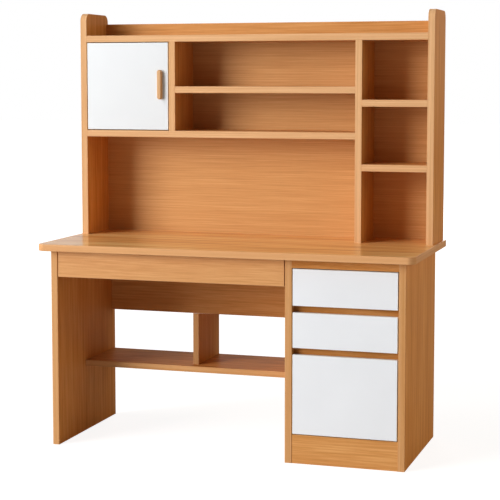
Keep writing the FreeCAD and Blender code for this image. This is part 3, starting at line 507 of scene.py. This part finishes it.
# The wide drawer front: paler colours, painted light, with the desk's darker band.
DESK_FRONT_PAINTED_LIGHT_AND_SHADE = grain_material(
    "desk_front_laminate_painted_light_and_shade", "UV", FRONT_PAINTED_LIGHT_WOOD, DESK_BAND_PAINTED_SHADE,
    specular=0.25, stretch=0.8, contrast=0.8)
# Foot shelf and pedestal rails: darker colours, painted shade for their places under the
# desktop and between the drawers.
DESK_PAINTED_SHADE = grain_material(
    "desk_laminate_painted_shade", "UV", PAINTED_SHADE_WOOD, DESK_BAND_PAINTED_SHADE,
    specular=0.002, spread=4.0, contrast=1.3)
# Uprights: brighter colours, painted light for the side light on their faces.
HUTCH_UPRIGHT_PAINTED_LIGHT = grain_material(
    "hutch_upright_laminate_painted_light", "UV", UPRIGHT_PAINTED_LIGHT_WOOD, HUTCH_BAND, **SLANTED, contrast=0.8)
# The column divider and the foot divider are darker: painted shade.
HUTCH_DIVIDER_PAINTED_SHADE = grain_material(
    "hutch_divider_laminate_painted_shade", "UV", DIVIDER_PAINTED_SHADE_WOOD, HUTCH_BAND, **SLANTED, contrast=0.8)
DESK_UPRIGHT_PAINTED_LIGHT_AND_SHADE = grain_material(
    "desk_upright_laminate_painted_light_and_shade", "UV", UPRIGHT_PAINTED_LIGHT_WOOD, DESK_BAND_PAINTED_SHADE, **SLANTED, contrast=0.75)
FOOT_DIVIDER_PAINTED_SHADE = grain_material(
    "foot_divider_laminate_painted_shade", "UV", DIVIDER_PAINTED_SHADE_WOOD, DIVIDER_PAINTED_SHADE_BAND, **SLANTED, contrast=0.75)
# The worktop's laminate is sealed with a clear lacquer, which mirrors the uprights
# and the room at a low angle.  Its grain is bolder and runs in long streaks, and its
# colours are brighter than the print's: painted light on the top.
DESKTOP = grain_material(
    "sealed_desktop_laminate", "UV", DESKTOP_GRAIN_PAINTED_LIGHT, DESKTOP_BAND,
    roughness=0.4, coat=0.63, specular=0.02, spread=5.0, stretch=3.5, contrast=1.1)
# White melamine, pressed satin.  The door's is a shade greyer, painted shade, and the drawer
# fronts' a shade whiter, painted light, to even out the extra light that falls on the door.
WHITE_DOOR_PAINTED_SHADE = white_material("white_door_melamine_painted_shade", DOOR_PAINTED_SHADE_WHITE)
WHITE_FRONT_PAINTED_LIGHT = white_material("white_front_melamine_painted_light", DRAWER_PAINTED_LIGHT_WHITE)


def make_boards():
    """Every board that shows, each on its own CAD board's box."""
    for node in ("left_leg_panel", "pedestal_inner_side", "pedestal_outer_side"):
        add_board(node, DESK_UPRIGHT_PAINTED_LIGHT_AND_SHADE, X, Z, eased=UPRIGHT_FRONT)
    add_board("door_divider", HUTCH_UPRIGHT_PAINTED_LIGHT, X, Z, eased=UPRIGHT_FRONT)
    add_board("column_divider", HUTCH_DIVIDER_PAINTED_SHADE, X, Z, eased=UPRIGHT_FRONT)
    for node in ("hutch_left_side", "hutch_right_side"):
        add_board(node, HUTCH_UPRIGHT_PAINTED_LIGHT, X, Z, eased=UPRIGHT_FREE_SIDES,
                  radii=(TIGHT, TIGHT, HUTCH_CORNER, HUTCH_CORNER))
    for node in ("hutch_top_shelf", "hutch_low_shelf", "hutch_middle_shelf",
                 "column_upper_shelf", "column_lower_shelf"):
        add_board(node, HUTCH_FLAT, Z, X, eased=SHELF_FRONT)
    add_board("foot_shelf", DESK_PAINTED_SHADE, Z, X, eased=SHELF_FRONT)
    add_board("hutch_back", HUTCH_BACK_PAINTED_LIGHT, Y, X, eased=NO_SIDE)
    add_board("gallery_rail", HUTCH_FLAT, Y, X, eased=NO_SIDE)
    for node in ("modesty_panel", "pedestal_plinth"):
        add_board(node, DESK_FLAT_BAND_PAINTED_SHADE, Y, X, eased=NO_SIDE)
    for node in ("pedestal_header_rail", "pedestal_upper_rail", "pedestal_lower_rail"):
        add_board(node, DESK_PAINTED_SHADE, Y, X, eased=NO_SIDE)
    add_board("pedestal_back", DESK_FLAT_BAND_PAINTED_SHADE, Y, Z, eased=NO_SIDE)
    add_board("wide_drawer_front", DESK_FRONT_PAINTED_LIGHT_AND_SHADE, Y, X)
    add_board("desktop", DESKTOP, Z, X, arris=DESKTOP_ARRIS,
              radii=(DESKTOP_CORNER,) * 2 + (DESKTOP_REAR_CORNER,) * 2)

    # The foot divider's top falls to the rear and runs level under the modesty panel.
    low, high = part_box("foot_divider")
    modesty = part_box("modesty_panel")[0]
    outline = [(low[Y], low[Z]), (high[Y], low[Z]), (high[Y], modesty[Z]),
               (modesty[Y], modesty[Z]), (low[Y], high[Z])]
    add_board("foot_divider", FOOT_DIVIDER_PAINTED_SHADE, X, Z, outline=outline, eased=(*NO_SIDE, True))
    add_board("door_panel", WHITE_DOOR_PAINTED_SHADE, Y, X)
    for node in ("top_drawer_front", "middle_drawer_front", "bottom_drawer_front"):
        add_board(node, WHITE_FRONT_PAINTED_LIGHT, Y, X)


def finish_cad_nodes():
    """Materials for the pieces whose CAD shape is shown as it is."""
    # Beech-pattern drawer boards: the same print, its grain along the longest side.
    grain = {
        axis: grain_material(f"beech_grain_{'xyz'[axis]}", "Object", WOOD, grain_axis=axis)
        for axis in (X, Y, Z)
    }
    # Beech, routed and oiled: paler than the print, with a close soft sheen.
    handle = grain_material(
        "oiled_beech_handle", "Object", HANDLE_WOOD, roughness=0.38, grain_axis=Z)
    # Beech, turned and left raw: pale and dull.
    dowel = grain_material("raw_beech_dowel", "Object", DOWEL_WOOD, roughness=0.6, grain_axis=Z)
    # Steel, zinc-plated: a grey metal with blurred highlights.
    steel = plain_material("zinc_plated_steel", ZINC, roughness=0.34, metallic=1.0)
    # Steel, powder-coated: an even off-white satin.
    runner = plain_material("powder_coated_runner", RUNNER_WHITE, roughness=0.45)
    # Nylon, moulded: dark brown, dull and smooth, as is the catch's lighter case.
    nylon = plain_material("brown_moulded_nylon", NYLON_BROWN, roughness=0.5)
    catch = plain_material("brown_moulded_catch", CATCH_BROWN, roughness=0.5)
    by_slot = {
        "white_laminate": WHITE_FRONT_PAINTED_LIGHT, "runner_steel": runner, "dowel_beech": dowel,
        "bright_steel": steel, "nylon": nylon, "catch_plastic": catch, "handle_wood": handle,
    }
    for node, obj in frame["nodes"].items():
        low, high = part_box(node)
        size = high - low
        longest = max((X, Y, Z), key=lambda axis: size[axis])
        material = by_slot.get(SLOT_OF[node], grain[longest])
        obj.data.materials.clear()
        obj.data.materials.append(material)


# ---------------------------------------------------------------------------
# Studio: camera, lights, floor, world
# ---------------------------------------------------------------------------
def make_camera():
    """A long lens to the right of the front, level with the hutch's middle shelf."""
    data = bpy.data.cameras.new("camera")
    data.lens = LENS
    data.sensor_width = SENSOR
    data.shift_y = CAMERA_SHIFT
    camera = bpy.data.objects.new("camera", data)
    camera.location = CAMERA_PLACE
    turn, tip = math.radians(CAMERA_TURN), math.radians(CAMERA_TIP)
    camera.rotation_euler = (math.pi / 2 - tip, 0.0, turn)
    bpy.context.scene.collection.objects.link(camera)
    bpy.context.scene.camera = camera


def make_lights():
    """Large square soft lights, each aimed at the middle of the desk.

    Three keys stand to the left of the front at different heights, so their shadows
    blur into one another, and three fills stand overhead, at the right and behind.
    """
    for name, place, power, colour in LIGHTS:
        data = bpy.data.lights.new(name, "AREA")
        data.shape = "SQUARE"
        data.size = LIGHT_SIZE
        data.energy = power
        data.color = colour
        light = bpy.data.objects.new(name, data)
        light.location = place
        aim = Vector(LIGHT_AIM) - Vector(place)
        light.rotation_euler = aim.to_track_quat("-Z", "Y").to_euler()
        bpy.context.scene.collection.objects.link(light)


def make_floor():
    """A flat square floor at height 0.

    To the camera it is nearly as white as the backdrop and keeps a soft shadow; to
    every other ray it is a pale grey floor.
    """
    mesh = bpy.data.meshes.new("floor")
    corners = [(-1, -1), (1, -1), (1, 1), (-1, 1)]
    mesh.from_pydata(
        [(x * FLOOR_REACH, y * FLOOR_REACH, 0.0) for x, y in corners], [], [(0, 1, 2, 3)])
    floor = bpy.data.objects.new("floor", mesh)
    bpy.context.scene.collection.objects.link(floor)
    material, tree, shader = new_material("pale_studio_floor")
    path = add_node(tree, "ShaderNodeLightPath")
    seen = path.outputs["Is Camera Ray"]
    colour = add_node(
        tree, "ShaderNodeMix", {"data_type": "RGBA"},
        {0: seen, 6: linear(FLOOR_COLOUR), 7: linear(FLOOR_SEEN)})
    tree.links.new(colour.outputs[2], shader.inputs["Base Color"])
    shader.inputs["Roughness"].default_value = FLOOR_ROUGHNESS
    shader.inputs["Specular IOR Level"].default_value = 0.0
    shader.inputs["Emission Color"].default_value = (1, 1, 1, 1)
    # Far from the desk the floor is as white as the backdrop, so no horizon shows.
    where = add_node(tree, "ShaderNodeTexCoord").outputs["Object"]
    distance = add_node(tree, "ShaderNodeVectorMath", {"operation": "LENGTH"}, {0: where})
    near, far = FLOOR_LIFT_FADES
    glow = add_node(
        tree, "ShaderNodeMapRange",
        inputs={"Value": distance.outputs["Value"], "From Min": near, "From Max": far,
                "To Min": FLOOR_LIFT, "To Max": 1.0})
    lift = add_node(
        tree, "ShaderNodeMath", {"operation": "MULTIPLY"}, {0: seen, 1: glow.outputs["Result"]})
    tree.links.new(lift.outputs[0], shader.inputs["Emission Strength"])
    mesh.materials.append(material)


def make_world():
    """A dim warm room that the camera sees as white and glossy surfaces as nearly white."""
    world = bpy.data.worlds.new("studio")
    bpy.context.scene.world = world
    world.use_nodes = True
    tree = world.node_tree
    tree.nodes.clear()
    path = add_node(tree, "ShaderNodeLightPath")
    shader = add_node(
        tree, "ShaderNodeBackground",
        inputs={"Color": WORLD_COLOUR, "Strength": WORLD_STRENGTH})
    for ray, strength in (("Is Glossy Ray", WORLD_REFLECTED), ("Is Camera Ray", WORLD_SEEN)):
        white = add_node(
            tree, "ShaderNodeBackground", inputs={"Color": (1, 1, 1, 1), "Strength": strength})
        shader = add_node(
            tree, "ShaderNodeMixShader",
            inputs={0: path.outputs[ray], 1: shader.outputs[0], 2: white.outputs[0]})
    output = add_node(tree, "ShaderNodeOutputWorld")
    tree.links.new(shader.outputs[0], output.inputs["Surface"])


finish_cad_nodes()
make_boards()
make_camera()
make_floor()
make_lights()
make_world()
bpy.context.scene.view_settings.view_transform = "Standard"
